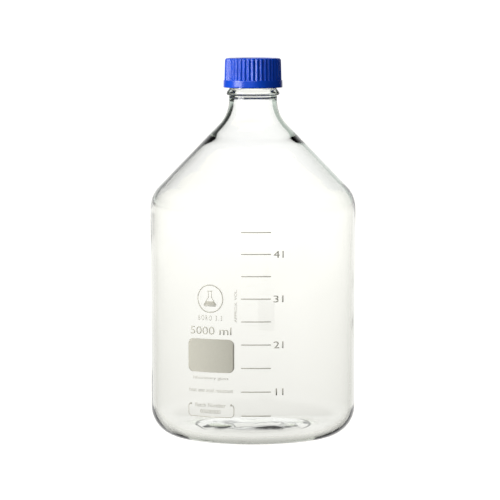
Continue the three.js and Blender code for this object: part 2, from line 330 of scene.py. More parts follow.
def borosilicate_glass(tint):
    """Clear borosilicate 3.3 glass, blown and fire-polished: a flawless gloss over faint draw lines,
    nearly white face on and grey-green where the eye looks along the wall."""
    material, tree = new_material("borosilicate_glass")
    place = add_node(tree, "ShaderNodeTexCoord").outputs["Object"]
    # Draw lines about 6 mm apart run up the wall, because the blown body was drawn as it cooled.
    stretched = add_node(tree, "ShaderNodeMapping", {"Vector": place, "Scale": (160, 160, 12)})
    lines = add_node(
        tree,
        "ShaderNodeTexNoise",
        {"Vector": stretched, "Scale": 1.0, "Detail": 2.0, "Roughness": 0.4},
    )
    # Slow swells about 30 mm across, as every mould-blown wall has.
    swells = add_node(
        tree, "ShaderNodeTexNoise", {"Vector": place, "Scale": 33.0, "Detail": 1.0, "Roughness": 0.3}
    )
    drawn = add_node(tree, "ShaderNodeBump", {"Height": lines, "Strength": 0.06, "Distance": 0.0002})
    swell = {"Height": swells, "Strength": 0.1, "Distance": 0.001, "Normal": drawn}
    swollen = add_node(tree, "ShaderNodeBump", swell)
    surface = add_node(
        tree,
        "ShaderNodeBsdfPrincipled",
        {
            "Base Color": linear("#FFFFFF"),
            "Roughness": 0.0,
            "IOR": 1.473,
            "Transmission Weight": 1.0,
            "Normal": swollen,
        },
    )
    inside = add_node(tree, "ShaderNodeVolumeAbsorption", {"Color": linear(tint), "Density": 22.0})
    add_node(tree, "ShaderNodeOutputMaterial", {"Surface": surface, "Volume": inside})
    return material


def moulded_polypropylene(name, colour, roughness, grain):
    """Injection-moulded polypropylene: a satin skin from the mould, over a colour that drifts
    slightly, as the pigment streams in the melt do. grain is the depth of the mould's texture."""
    material, tree = new_material(name)
    place = add_node(tree, "ShaderNodeTexCoord").outputs["Object"]
    flow = add_node(
        tree, "ShaderNodeTexNoise", {"Vector": place, "Scale": 140.0, "Detail": 3.0, "Roughness": 0.55}
    )
    red, green, blue, _ = linear(colour)
    shades = add_node(tree, "ShaderNodeValToRGB", {"Fac": flow})
    dark, light = shades.color_ramp.elements
    dark.position, light.position = 0.3, 0.7
    dark.color = (red * 0.88, green * 0.88, blue * 0.9, 1)
    light.color = (red * 1.1, green * 1.1, blue * 1.08, 1)
    # The mould's grain is about 0.1 mm across. It is drawn 0.4 mm across, so that it shows.
    texture = add_node(
        tree, "ShaderNodeTexNoise", {"Vector": place, "Scale": 2500.0, "Detail": 2.0, "Roughness": 0.6}
    )
    levels = {"From Min": 0.3, "From Max": 0.7, "To Min": roughness - 0.05, "To Max": roughness + 0.06}
    skin = add_node(tree, "ShaderNodeMapRange", {"Value": texture, **levels})
    # Scuffs from handling run round the piece in fine broken lines.
    turned = add_node(tree, "ShaderNodeMapping", {"Vector": place, "Scale": (90, 90, 1400)})
    scuffs = add_node(
        tree,
        "ShaderNodeTexNoise",
        {"Vector": turned, "Scale": 1.0, "Detail": 4.0, "Roughness": 0.7},
    )
    grained = add_node(tree, "ShaderNodeBump", {"Height": texture, "Strength": 0.25, "Distance": grain})
    scuff = {"Height": scuffs, "Strength": 0.12, "Distance": grain, "Normal": grained}
    scuffed = add_node(tree, "ShaderNodeBump", scuff)
    surface = add_node(
        tree,
        "ShaderNodeBsdfPrincipled",
        {
            "Base Color": shades,
            "Roughness": skin,
            "IOR": 1.49,
            "Specular IOR Level": 0.55,
            "Normal": scuffed,
        },
    )
    add_node(tree, "ShaderNodeOutputMaterial", {"Surface": surface})
    return material


def fired_enamel(colour):
    """Ceramic enamel, screen-printed and fired on: matt, dense and very slightly grainy, with the
    screen's weave left in it."""
    material, tree = new_material("fired_enamel")
    place = add_node(tree, "ShaderNodeTexCoord").outputs["Object"]
    grit = add_node(
        tree, "ShaderNodeTexNoise", {"Vector": place, "Scale": 1500.0, "Detail": 3.0, "Roughness": 0.6}
    )
    red, green, blue, _ = linear(colour)
    shades = add_node(tree, "ShaderNodeValToRGB", {"Fac": grit})
    dark, light = shades.color_ramp.elements
    dark.position, light.position = 0.25, 0.75
    dark.color = (red * 0.9, green * 0.9, blue * 0.9, 1)
    light.color = (*(min(c * 1.08, 1) for c in (red, green, blue)), 1)
    # A screen has about 8 threads to the millimetre. They are drawn at 2, so that they show close up.
    weave = add_node(
        tree,
        "ShaderNodeTexWave",
        {"Vector": place, "Scale": 310.0, "Distortion": 1.5, "Detail": 1.0},
        bands_direction="Z",
    )
    woven = add_node(
        tree,
        "ShaderNodeBump",
        {"Height": weave.outputs["Fac"], "Strength": 0.15, "Distance": 0.00003},
    )
    grain = {"Height": grit, "Strength": 0.3, "Distance": 0.00004, "Normal": woven}
    rough = add_node(tree, "ShaderNodeBump", grain)
    surface = add_node(
        tree,
        "ShaderNodeBsdfPrincipled",
        {"Base Color": shades, "Roughness": 0.62, "IOR": 1.52, "Normal": rough},
    )
    add_node(tree, "ShaderNodeOutputMaterial", {"Surface": surface})
    return material


def matt_paper():
    """White paper sweep, lit through from below so that the camera sees it evenly white, with no shadow.
    Light that reaches it through the glass sees painted shade: its glow is a little darker near the bottle
    and brighter far behind it. Light that has crossed only one glass wall also sees painted shade under
    the foot, a painted lighter ring just beside the foot, and painted grey patches far behind, dark on the
    left and grey on the right, that stand for cards where the glass outlines look."""
    material, tree = new_material("matt_paper")
    place = add_node(tree, "ShaderNodeTexCoord").outputs["Object"]
    fibres = add_node(tree, "ShaderNodeTexNoise", {"Vector": place, "Scale": 600.0, "Detail": 4.0})
    pressed = add_node(tree, "ShaderNodeBump", {"Height": fibres, "Strength": 0.2, "Distance": 0.0002})
    distance = add_node(tree, "ShaderNodeVectorMath", {0: place}, operation="LENGTH").outputs["Value"]
    x = add_node(tree, "ShaderNodeSeparateXYZ", {"Vector": place}).outputs["X"]
    path = add_node(tree, "ShaderNodeLightPath")
    # Painted shade: light that comes through the glass sees the glow darker near the bottle, 0.86, rising
    # to 1.22 three metres away; the camera sees it evenly at 1.12.
    lit = {"Value": distance, "From Max": 3.0, "To Min": 0.86, "To Max": 1.22}
    far = add_node(tree, "ShaderNodeMapRange", lit)
    seen = {"Value": path.outputs["Is Camera Ray"], "To Min": far, "To Max": 1.12}
    glow = add_node(tree, "ShaderNodeMapRange", seen)
    # Each level goes smoothly from one value to another as a distance or place goes from low to high.
    levels = {}
    for name, (value, low, high, from_level, to_level) in {
        "beside the foot": (distance, 0.066, 0.082, 0.72, 1.15),
        "past the foot": (distance, 0.12, 0.3, 0.0, 1.0),
        "far behind": (distance, 1.9, 3.6, 0.0, 1.0),
        "left to right": (x, -0.6, 0.5, 0.05, 0.6),
    }.items():
        change = {"From Min": low, "From Max": high, "To Min": from_level, "To Max": to_level}
        change["Value"] = value
        levels[name] = add_node(tree, "ShaderNodeMapRange", change, interpolation_type="SMOOTHSTEP")
    # Painted shade for light that has crossed one glass wall: darker under the foot, a painted lighter
    # ring just beside it, and far behind a dark patch on the left and a grey one on the right that stand
    # for cards and draw the glass's dark outlines.
    card = {"Value": levels["past the foot"], "To Min": levels["beside the foot"], "To Max": 0.96}
    dark = {"Value": levels["far behind"], "To Min": 1.0, "To Max": levels["left to right"]}
    painted_foot_shade, behind = (add_node(tree, "ShaderNodeMapRange", part) for part in (card, dark))
    cards = add_node(tree, "ShaderNodeMath", {0: painted_foot_shade, 1: behind}, operation="MULTIPLY")
    share = {"Value": through_one_wall(tree, path), "To Min": 1.0, "To Max": cards}
    kept = add_node(tree, "ShaderNodeMapRange", share)
    strength = add_node(tree, "ShaderNodeMath", {0: glow, 1: kept}, operation="MULTIPLY")
    surface = add_node(
        tree,
        "ShaderNodeBsdfPrincipled",
        {
            "Base Color": linear("#282826"),
            "Roughness": 0.9,
            "Emission Color": linear("#FFFEF9"),
            "Emission Strength": strength,
            "Normal": pressed,
        },
    )
    add_node(tree, "ShaderNodeOutputMaterial", {"Surface": surface})
    return material


# ---- Glass ----


def wall_radius(height):
    """The wall's outside radius: the blown body grows slightly wider towards the shoulder."""
    swell = SHOULDER_RADIUS - BODY_RADIUS
    return BODY_RADIUS + swell * smooth_step(height, SWELL_START, SHOULDER_START)


def glass_outside():
    """From the middle of the push-up out over the foot, up the wall and shoulder to the rim."""
    # The push-up rises from the foot in a short steep heel, and goes on as a shallow dome.
    base = flowing(
        [
            (0, PUSH_UP),
            (FOOT_INNER_RADIUS * 0.35, PUSH_UP * 0.93),
            (FOOT_INNER_RADIUS * 0.7, PUSH_UP * 0.64),
            (FOOT_INNER_RADIUS - 0.0040, PUSH_UP * 0.34),
            (FOOT_INNER_RADIUS - 0.0014, PUSH_UP * 0.25),
            (FOOT_INNER_RADIUS - 0.0003, PUSH_UP * 0.07),
            (FOOT_INNER_RADIUS + 0.0009, 0),
        ],
        5,
    )
    corner = arc(BODY_RADIUS - CORNER_ROUND, CORNER_ROUND, CORNER_ROUND, -math.pi / 2, 0, 22)
    wall = [(wall_radius(z), z) for _, z in straight((0, CORNER_ROUND), (0, SHOULDER_START), 44)]
    round_middle = (SHOULDER_RADIUS - SHOULDER_ROUND, SHOULDER_START)
    shoulder = arc(*round_middle, SHOULDER_ROUND, 0, CONE_ANGLE, SHOULDER_STEPS)
    fillet = arc(NECK_RADIUS + NECK_FILLET, NECK_START, NECK_FILLET, math.pi + CONE_ANGLE, math.pi, 16)
    cone = straight(shoulder[-1], fillet[0], 18)
    neck = straight(fillet[-1], (NECK_RADIUS, BEAD_BOTTOM - 0.0004), 4)
    bead = flowing(
        [
            (NECK_RADIUS, BEAD_BOTTOM - 0.0004),
            (NECK_RADIUS + 0.0004, BEAD_BOTTOM),
            (BEAD_RADIUS - 0.0006, BEAD_BOTTOM + 0.0004),
            (BEAD_RADIUS, BEAD_BOTTOM + 0.0016),
            (BEAD_RADIUS - 0.0007, BEAD_BOTTOM + 0.0034),
            (THREAD_MINOR + 0.0005, BEAD_TOP - 0.0007),
            (THREAD_MINOR, BEAD_TOP + 0.0004),
        ],
        4,
    )
    return [*base, *corner, *wall, *shoulder, *cone, *fillet, *neck, *bead]


def glass_finish():
    """From the bead up the threaded wall, over the groove and the rim, and into the mouth."""
    groove_bottom = RIM - 0.0045
    groove_radius = 0.0189
    rim_radius = 0.0196
    rim_round = 0.0012
    threaded = straight((THREAD_MINOR, BEAD_TOP + 0.0004), (THREAD_MINOR, groove_bottom - 0.001), 46)
    groove = flowing(
        [
            threaded[-1],
            (groove_radius + 0.0003, groove_bottom - 0.0002),
            (groove_radius, groove_bottom + 0.0008),
            (groove_radius + 0.0002, groove_bottom + 0.0018),
            (rim_radius, groove_bottom + 0.0024),
        ],
        3,
    )
    over = arc(rim_radius - rim_round, RIM - rim_round, rim_round, 0, math.pi / 2, 5)
    into = arc(MOUTH_RADIUS + rim_round, RIM - rim_round, rim_round, math.pi / 2, math.pi, 5)
    return [*threaded, *groove, *over, *into]


def glass_inside(wall, base_wall):
    """Down the mouth and neck, under the shoulder, down the wall, and over the base to the axis."""
    # The glass gathers in the neck, and thins in a step below it where the shoulder was blown out.
    thick = wall * 1.2
    thin = wall * 0.82
    step_bottom = 0.259
    step_top = 0.270
    inner_corner = CORNER_ROUND - wall
    corner_height = base_wall + inner_corner
    slope = (math.cos(CONE_ANGLE), math.sin(CONE_ANGLE))
    fillet_middle = (NECK_RADIUS + NECK_FILLET, NECK_START)
    shoulder_middle = (SHOULDER_RADIUS - SHOULDER_ROUND, SHOULDER_START)
    mouth = straight((MOUTH_RADIUS, RIM - 0.0014), (MOUTH_RADIUS, THREAD_BOTTOM + 0.001), 10)
    throat = flowing(
        [
            mouth[-1],
            (MOUTH_RADIUS + 0.0003, THREAD_BOTTOM - 0.004),
            (MOUTH_RADIUS + 0.0013, BEAD_BOTTOM),
            (NECK_RADIUS - thick, NECK_START),
        ],
        8,
    )
    fillet = arc(*fillet_middle, NECK_FILLET + thick, math.pi, math.pi + CONE_ANGLE, 16)
    cone_top = tuple(middle - NECK_FILLET * part for middle, part in zip(fillet_middle, slope))
    outer_shoulder = arc(*shoulder_middle, SHOULDER_ROUND, CONE_ANGLE, 0, SHOULDER_STEPS)
    cone = []
    for radius, height in straight(cone_top, outer_shoulder[0], 40):
        depth = thin + (thick - thin) * smooth_step(height, step_bottom, step_top)
        cone.append((radius - depth * slope[0], height - depth * slope[1]))
    shoulder = []
    for i, (radius, height) in enumerate(outer_shoulder):
        share = i / SHOULDER_STEPS
        angle = CONE_ANGLE * (1 - share)
        depth = thin + (wall - thin) * share
        shoulder.append((radius - depth * math.cos(angle), height - depth * math.sin(angle)))
    heights = [height for _, height in straight((0, SHOULDER_START), (0, corner_height), 40)]
    side = [(wall_radius(height) - wall, height) for height in heights]
    corner = arc(BODY_RADIUS - CORNER_ROUND, corner_height, inner_corner, 0, -math.pi / 2, 18)
    base = flowing(
        [
            (FOOT_INNER_RADIUS + 0.006, base_wall),
            (FOOT_INNER_RADIUS - 0.001, base_wall + PUSH_UP * 0.1),
            (FOOT_INNER_RADIUS * 0.7, base_wall + PUSH_UP * 0.6),
            (FOOT_INNER_RADIUS * 0.35, base_wall + PUSH_UP * 0.92),
            (0, base_wall + PUSH_UP),
        ],
        6,
    )
    return [*mouth, *throat, *fillet, *cone, *shoulder, *side, *corner, *base]


def thread_rise(angle, height, bottom, turns, half_width):
    """How far a point is up a round thread: 0 at its root, 1 at its crest."""
    rise = 0
    sweep = 2 * math.pi * turns
    for lap in range(math.ceil(turns)):
        turn = angle + 2 * math.pi * lap
        off = abs(height - bottom - THREAD_PITCH * turn / (2 * math.pi)) / half_width
        if turn <= sweep and off < 1:
            fade = smooth_step(min(turn, sweep - turn), 0, THREAD_RUN_OUT)
            rise = max(rise, fade * (0.5 + 0.5 * math.cos(math.pi * off)) ** 0.75)
    return rise


def make_blown_glass(settings, material):
    """The bottle in one piece, with its thread, bead and push-up."""
    outside = tidied([*glass_outside(), *glass_finish()])
    outline = tidied([*outside, *glass_inside(settings.wall, settings.base_wall)])
    inner_rows = len(outside)
    half_width = 0.0013
    heel_wobble = 0.0011

    def shape(angle, radius, height, row):
        across, along = math.cos(angle), math.sin(angle)
        if row < inner_rows - 1:
            if radius < FOOT_INNER_RADIUS + 0.002 and height < PUSH_UP * 0.7:
                wobble = noise.noise(Vector((3.5 * across, 3.5 * along, 0.3)))
                radius += heel_wobble * wobble * smooth_step(height, 0, PUSH_UP * 0.15)
            if BEAD_TOP < height < THREAD_TOP + 2 * half_width:
                rise = thread_rise(angle, height, THREAD_BOTTOM, THREAD_TURNS, half_width)
                radius += (THREAD_MAJOR - THREAD_MINOR) * rise
            return radius, height
        fade = smooth_step(radius, MOUTH_RADIUS, NECK_RADIUS) * smooth_step(RIM - height, 0.02, 0.05)
        share = 4 * radius / BODY_RADIUS
        wander = settings.ripple * fade * noise.noise(Vector((share * across, share * along, height * 26)))
        if height < settings.base_wall + CORNER_ROUND:
            return radius, height + wander * smooth_step(radius, 0, FOOT_INNER_RADIUS)
        return radius + wander, height

    return revolve("blown_glass", outline, 224, material, shape, 40)


# ---- Pouring ring, seal and cap ----


def make_lip_ring(material):
    """The pouring ring: a snap-on collar whose thin upper edge cuts off the last drop."""
    outer = ring_high.x
    bottom, top = ring_low.z, ring_high.z
    bore = MOUTH_RADIUS + 0.0012
    grip = 0.0190
    inside = 0.0197
    lip = [(outer - 0.0010, top - 0.0005), (bore + 0.0016, RIM + 0.00042), (bore + 0.0003, RIM + 0.00040)]
    outline = [
        (grip + 0.0002, bottom + 0.0002),
        (grip + 0.0006, bottom),
        (outer - 0.0003, bottom),
        (outer, bottom + 0.0003),
        *straight((outer, bottom + 0.0012), (outer, top - 0.0006), 3),
        *arc(outer - 0.0003, top - 0.0003, 0.0003, 0, math.pi / 2, 4),
        (outer - 0.0006, top - 0.0001),
        *flowing(lip, 4),
        (bore, RIM + 0.0003),
        (bore, RIM + 0.00014),
        (bore + 0.0003, RIM + 0.0001),
        (inside - 0.0004, RIM + 0.0001),
        (inside, RIM - 0.0003),
        (inside, RIM - 0.0026),
        (grip + 0.0002, RIM - 0.0031),
    ]
    return revolve("drip_free_ring", outline, 160, material, closed=True)


def make_seal_disc(material):
    """The seal: a disc with a raised face ring and a plug lip that reaches into the mouth."""
    edge = seal_high.x
    top = seal_high.z
    face = top - 0.0012
    lip = MOUTH_RADIUS - 0.0005
    outline = [
        (0, face + 0.0002),
        *straight((0.004, face + 0.0002), (lip - 0.0022, face + 0.0002), 4),
        (lip - 0.0016, face + 0.0001),
        (lip - 0.0013, face - 0.0004),
        (lip - 0.0010, seal_low.z + 0.0003),
        (lip - 0.0008, seal_low.z),
        (lip - 0.0005, seal_low.z + 0.0001),
        (lip - 0.0002, face - 0.0012),
        (lip, face - 0.0001),
        (lip + 0.0003, face + 0.0001),
        (edge - 0.0007, face + 0.0001),
        (edge - 0.0002, face + 0.0002),
        (edge, face + 0.0004),
        (edge, top - 0.0003),
        (edge - 0.0003, top),
        (edge - 0.0040, top),
        (edge - 0.0043, top - 0.0002),
        (edge - 0.0047, top - 0.0002),
        (edge - 0.0050, top),
        (0, top),
    ]
    return revolve("lip_seal", outline, 128, material, sharp=50)


def cap_outline(draft):
    """The cap's half section in two parts: from the axis down the hollow, then up the outside."""
    skirt = 0.0003
    edge_round = 0.0024
    hollow = 0.02285
    seat = seal_high.x + 0.0004
    seat_bottom = seal_low.z + 0.0024
    ceiling = seal_high.z + 0.0001
    top_radius = RIB_RADIUS - draft
    recess = 0.0172
    under = [
        (0, ceiling),
        *straight((0.005, ceiling), (seat - 0.0003, ceiling), 4),
        (seat, ceiling - 0.0003),
        (seat, seat_bottom + 0.0002),
        (seat + 0.0003, seat_bottom),
        (hollow - 0.0003, seat_bottom),
        (hollow, seat_bottom - 0.0003),
    ]
    bore = straight((hollow, seat_bottom - 0.0006), (hollow, CAP_BOTTOM + 0.0012), 60)
    mouth = [(hollow + 0.0001, CAP_BOTTOM + 0.0006), (hollow + 0.0005, CAP_BOTTOM)]
    band = [
        (BAND_RADIUS - skirt - 0.0002, CAP_BOTTOM),
        *arc(BAND_RADIUS - skirt, CAP_BOTTOM + skirt, skirt, -math.pi / 2, 0, 3),
        *straight((BAND_RADIUS, CAP_BOTTOM + 0.0012), (BAND_RADIUS - 0.0001, BAND_TOP - 0.0012), 3),
        *arc(BAND_RADIUS - 0.0001 - skirt, BAND_TOP - skirt, skirt, 0, math.pi / 2, 3),
    ]
    wall = straight((RIB_RADIUS, BAND_TOP + 0.00005), (top_radius, CAP_TOP - edge_round), 16)
    edge = arc(top_radius - edge_round, CAP_TOP - edge_round, edge_round, 0, math.pi / 2, 12)
    top = [
        (recess + 0.0006, CAP_TOP),
        (recess + 0.0002, CAP_TOP - 0.0001),
        (recess - 0.0002, CAP_TOP - 0.0004),
        (recess - 0.0006, CAP_TOP - 0.0005),
        *straight((recess - 0.002, CAP_TOP - 0.0005), (0.0042, CAP_TOP - 0.0005), 4),
        (0.0036, CAP_TOP - 0.0007),
        (0.0030, CAP_TOP - 0.0008),
        (0.0014, CAP_TOP - 0.0008),
        (0.0010, CAP_TOP - 0.0006),
        (0, CAP_TOP - 0.00055),
    ]
    return [*under, *bore, *mouth], [*band, *wall, *edge, *top]


def new_tree(name, floats, integers=()):
    """An empty geometry node group that takes geometry and numbers, and gives geometry."""
    tree = bpy.data.node_groups.new(name, "GeometryNodeTree")
    kinds = {"Geometry": "NodeSocketGeometry"}
    kinds |= {number: "NodeSocketInt" for number in integers}
    kinds |= {number: "NodeSocketFloat" for number in floats}
    for label, kind in kinds.items():
        tree.interface.new_socket(label, in_out="INPUT", socket_type=kind)
    tree.interface.new_socket("Geometry", in_out="OUTPUT", socket_type="NodeSocketGeometry")
    return tree


def rib_tree(material):
    """Geometry nodes that press grooves into a turned wall, so that ribs are left standing.

    Points outside the groove's radius are drawn in to it, and less so along each rib.
    """
    tree = new_tree("ribs", ("Rib Depth", "Crest Radius", "Lean", "Bottom"), ("Ribs",))
    given = add_node(tree, "NodeGroupInput").outputs
    place = add_node(tree, "GeometryNodeInputPosition")
    x, y, z = add_node(tree, "ShaderNodeSeparateXYZ", {"Vector": place}).outputs
    flat = add_node(tree, "ShaderNodeCombineXYZ", {"X": x, "Y": y})
    radius = add_node(tree, "ShaderNodeVectorMath", {0: flat}, operation="LENGTH").outputs["Value"]
    angle = add_node(tree, "ShaderNodeMath", {0: y, 1: x}, operation="ARCTAN2")
    phase = add_node(tree, "ShaderNodeMath", {0: angle, 1: given["Ribs"]}, operation="MULTIPLY")
    wave = add_node(tree, "ShaderNodeMath", {0: phase}, operation="COSINE")
    share = add_node(tree, "ShaderNodeMapRange", {"Value": wave, "From Min": -1.0})
    crest = add_node(tree, "ShaderNodeMath", {0: share, 1: 0.85}, operation="POWER")
    sunk = add_node(
        tree, "ShaderNodeMapRange", {"Value": crest, "To Min": given["Rib Depth"], "To Max": 0.0}
    )
    rise = add_node(tree, "ShaderNodeMath", {0: z, 1: given["Bottom"]}, operation="SUBTRACT")
    inward = {0: rise, 1: given["Lean"], 2: sunk}
    drawn = add_node(tree, "ShaderNodeMath", inward, operation="MULTIPLY_ADD")
    reach = {0: given["Crest Radius"], 1: drawn}
    limit = add_node(tree, "ShaderNodeMath", reach, operation="SUBTRACT")
    kept = add_node(tree, "ShaderNodeMath", {0: radius, 1: limit}, operation="MINIMUM")
    safe = add_node(tree, "ShaderNodeMath", {0: radius, 1: 1e-6}, operation="MAXIMUM")
    scale = add_node(tree, "ShaderNodeMath", {0: kept, 1: safe}, operation="DIVIDE")
    scales = add_node(tree, "ShaderNodeCombineXYZ", {"X": scale, "Y": scale, "Z": 1.0})
    moved = add_node(tree, "ShaderNodeVectorMath", {0: place, 1: scales}, operation="MULTIPLY")
    ends = {0: z, 1: given["Bottom"]}
    above = add_node(tree, "FunctionNodeCompare", ends, data_type="FLOAT", operation="GREATER_THAN")
    pressed = {"Geometry": given["Geometry"], "Selection": above, "Position": moved}
    ribbed = add_node(tree, "GeometryNodeSetPosition", pressed)
    real = add_node(tree, "GeometryNodeRealizeInstances", {"Geometry": ribbed})
    finish = {"Geometry": real, "Material": material}
    coated = add_node(tree, "GeometryNodeSetMaterial", finish)
    add_node(tree, "NodeGroupOutput", {"Geometry": coated})
    return tree


def add_tree(piece, tree, values):
    """Puts a geometry node tree on a piece and sets its named inputs."""
    modifier = piece.modifiers.new(tree.name, "NODES")
    modifier.node_group = tree
    for item in tree.interface.items_tree:
        if item.in_out == "INPUT" and item.name in values:
            modifier[item.identifier] = values[item.name]


def make_cap(settings, material):
    """The screw cap: a ribbed skirt over a smooth band, with a round thread inside."""
    inside, outside = cap_outline(settings.draft)
    inner_rows = len(inside)
    thread_depth = 0.0014
    thread_turns = 1.5
    thread_bottom = THREAD_BOTTOM - 0.0021
    half_width = 0.0011
    bore_low, bore_high = CAP_BOTTOM + 0.001, seal_low.z + 0.0018
    bore_radius = 0.02

    def shape(angle, radius, height, row):
        if row < inner_rows and bore_low < height < bore_high and radius > bore_radius:
            radius -= thread_depth * thread_rise(angle, height, thread_bottom, thread_turns, half_width)
        return radius, height

    segments = 10 * settings.ribs
    cap = revolve("cap_moulding", [*inside, *outside], segments, material, shape, 40)
    values = {
        "Ribs": settings.ribs,
        "Rib Depth": settings.rib_depth,
        "Crest Radius": RIB_RADIUS,
        "Lean": settings.draft / (CAP_TOP - BAND_TOP),
        "Bottom": BAND_TOP + 0.00002,
    }
    add_tree(cap, rib_tree(material), values)
    return settle(cap)


# ---- Enamel print ----


def along_wall(x):
    """The distance round the wall, from the front line, of a point that far to the right."""
    return BODY_RADIUS * math.asin(x / BODY_RADIUS)


COLUMN = (along_wall(field_low.x) + along_wall(field_high.x)) / 2
COLUMN_WIDTH = along_wall(field_high.x) - along_wall(field_low.x)


def flat_from_outline(outlines):
    """A flat mesh of outlines, drawn as distance round the wall and height. The first is filled,
    and the others are holes in it."""
    curve = bpy.data.curves.new("outline", "CURVE")
    curve.dimensions = "2D"
    curve.fill_mode = "BOTH"
    for outline in outlines:
        spline = curve.splines.new("POLY")
        spline.points.add(len(outline) - 1)
        for point, (x, z) in zip(spline.points, outline):
            point.co = (x, z, 0, 1)
        spline.use_cyclic_u = True
    return mesh_from_curve(curve)


def mesh_from_curve(curve):
    """The filled mesh of a curve or text, which is then removed."""
    holder = bpy.data.objects.new("holder", curve)
    bpy.context.scene.collection.objects.link(holder)
    mesh = evaluated_mesh(holder)
    bpy.data.objects.remove(holder)
    bpy.data.curves.remove(curve)
    return mesh


def lettering(text, left, right, bottom, top, upright=False, word_gap=1.0):
    """A flat mesh of words, fitted between two distances round the wall and two heights."""
    curve = bpy.data.curves.new("words", "FONT")
    curve.body = text
    curve.space_word = word_gap
    curve.resolution_u = 4
    mesh = mesh_from_curve(curve)
    if upright:
        mesh.transform(Matrix.Rotation(math.pi / 2, 4, "Z"))
    xs = [v.co.x for v in mesh.vertices]
    ys = [v.co.y for v in mesh.vertices]
    wide = (right - left) / (max(xs) - min(xs))
    high = (top - bottom) / (max(ys) - min(ys))
    for vertex in mesh.vertices:
        vertex.co.x = left + (vertex.co.x - min(xs)) * wide
        vertex.co.y = bottom + (vertex.co.y - min(ys)) * high
    return mesh


def print_on_wall(name, flats, settings, material):
    """Bends flat meshes round the wall and gives them the enamel's thickness."""
    sheet = bmesh.new()
    for flat in flats:
        sheet.from_mesh(flat)
        bpy.data.meshes.remove(flat)
    bmesh.ops.remove_doubles(sheet, verts=sheet.verts, dist=1e-7)
    # Cuts 2 mm apart let the sheet follow the wall's round, and cuts 6 mm apart its swell.
    for across, spacing in ((Vector((1, 0, 0)), 0.002), (Vector((0, 1, 0)), 0.006)):
        places = [vertex.co.dot(across) / spacing for vertex in sheet.verts]
        for step in range(math.floor(min(places)), math.ceil(max(places)) + 1):
            bmesh.ops.bisect_plane(
                sheet,
                geom=[*sheet.verts, *sheet.edges, *sheet.faces],
                dist=1e-7,
                plane_co=across * step * spacing,
                plane_no=across,
            )
    for face in sheet.faces:
        if face.normal.z < 0:
            face.normal_flip()
    for vertex in sheet.verts:
        x, z = vertex.co.x, vertex.co.y
        radius = wall_radius(z) + settings.gap
        angle = x / BODY_RADIUS
        vertex.co = (radius * math.sin(angle), -radius * math.cos(angle), z)
    mesh = bpy.data.meshes.new(name)
    sheet.to_mesh(mesh)
    sheet.free()
    piece = object_of(name, mesh, material, 60)
    film = piece.modifiers.new("film", "SOLIDIFY")
    film.thickness = settings.film
    film.offset = 1
    return settle(piece)


def rounded_box(left, right, bottom, top, corner):
    """A rectangle with round corners, as points in the print's plane."""
    points = []
    for x, z, start in (
        (right - corner, top - corner, 0),
        (left + corner, top - corner, math.pi / 2),
        (left + corner, bottom + corner, math.pi),
        (right - corner, bottom + corner, 1.5 * math.pi),
    ):
        points += arc(x, z, corner, start, start + math.pi / 2, 8)
    return points


def ring_of(x, z, radius, steps=64):
    """A circle as points in the print's plane, without its first point again at the end."""
    return arc(x, z, radius, 0, 2 * math.pi * (1 - 1 / steps), steps - 1)


def mark_tree(material):
    """Geometry nodes that print one bar of the scale at each point and bend it round the wall."""
    sizes = ("Bar Width", "Bar Height", "Film", "Wall Radius", "Swell", "Swell Start", "Swell End")
    tree = new_tree("scale_marks", sizes)
    given = add_node(tree, "NodeGroupInput").outputs
    bar_size = {"X": given["Bar Width"], "Y": given["Film"], "Z": given["Bar Height"]}
    size = add_node(tree, "ShaderNodeCombineXYZ", bar_size)
    cuts = {"Vertices X": 27, "Vertices Y": 2, "Vertices Z": 3}
    bar = add_node(tree, "GeometryNodeMeshCube", {"Size": size, **cuts})
    copies = {"Points": given["Geometry"], "Instance": bar}
    bars = add_node(tree, "GeometryNodeInstanceOnPoints", copies)
    real = add_node(tree, "GeometryNodeRealizeInstances", {"Geometry": bars})
    place = add_node(tree, "GeometryNodeInputPosition")
    x, y, z = add_node(tree, "ShaderNodeSeparateXYZ", {"Vector": place}).outputs
    growth = {
        "Value": z,
        "From Min": given["Swell Start"],
        "From Max": given["Swell End"],
        "To Min": given["Wall Radius"],
    }
    full = {0: given["Wall Radius"], 1: given["Swell"]}
    growth["To Max"] = add_node(tree, "ShaderNodeMath", full, operation="ADD")
    wall = add_node(tree, "ShaderNodeMapRange", growth, interpolation_type="SMOOTHSTEP")
    depth = add_node(tree, "ShaderNodeMath", {0: y, 1: wall}, operation="SUBTRACT")
    front = add_node(tree, "ShaderNodeCombineXYZ", {"Y": depth, "Z": z})
    angle = add_node(tree, "ShaderNodeMath", {0: x, 1: given["Wall Radius"]}, operation="DIVIDE")
    turn = {"Vector": front, "Angle": angle}
    bent = add_node(tree, "ShaderNodeVectorRotate", turn, rotation_type="Z_AXIS")
    wrapped = add_node(tree, "GeometryNodeSetPosition", {"Geometry": real, "Position": bent})
    finish = {"Geometry": wrapped, "Material": material}
    coated = add_node(tree, "GeometryNodeSetMaterial", finish)
    add_node(tree, "NodeGroupOutput", {"Geometry": coated})
    return tree


def make_marks(settings, material):
    """The nine bars of the volume scale, one at the place of each mark in the frame."""
    boxes = [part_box(name) for name in MARKS]
    low, high = boxes[0]
    left, right = along_wall(low.x), along_wall(high.x)
    outset = -(settings.gap + settings.film / 2)
    points = [((left + right) / 2, outset, (low.z + high.z) / 2) for low, high in boxes]
    marks = object_from("volume_marks", points, [], material)
    values = {
        "Bar Width": right - left,
        "Bar Height": 0.00085,
        "Film": settings.film,
        "Wall Radius": BODY_RADIUS,
        "Swell": SHOULDER_RADIUS - BODY_RADIUS,
        "Swell Start": SWELL_START,
        "Swell End": SHOULDER_START,
    }
    add_tree(marks, mark_tree(material), values)
    return settle(marks)


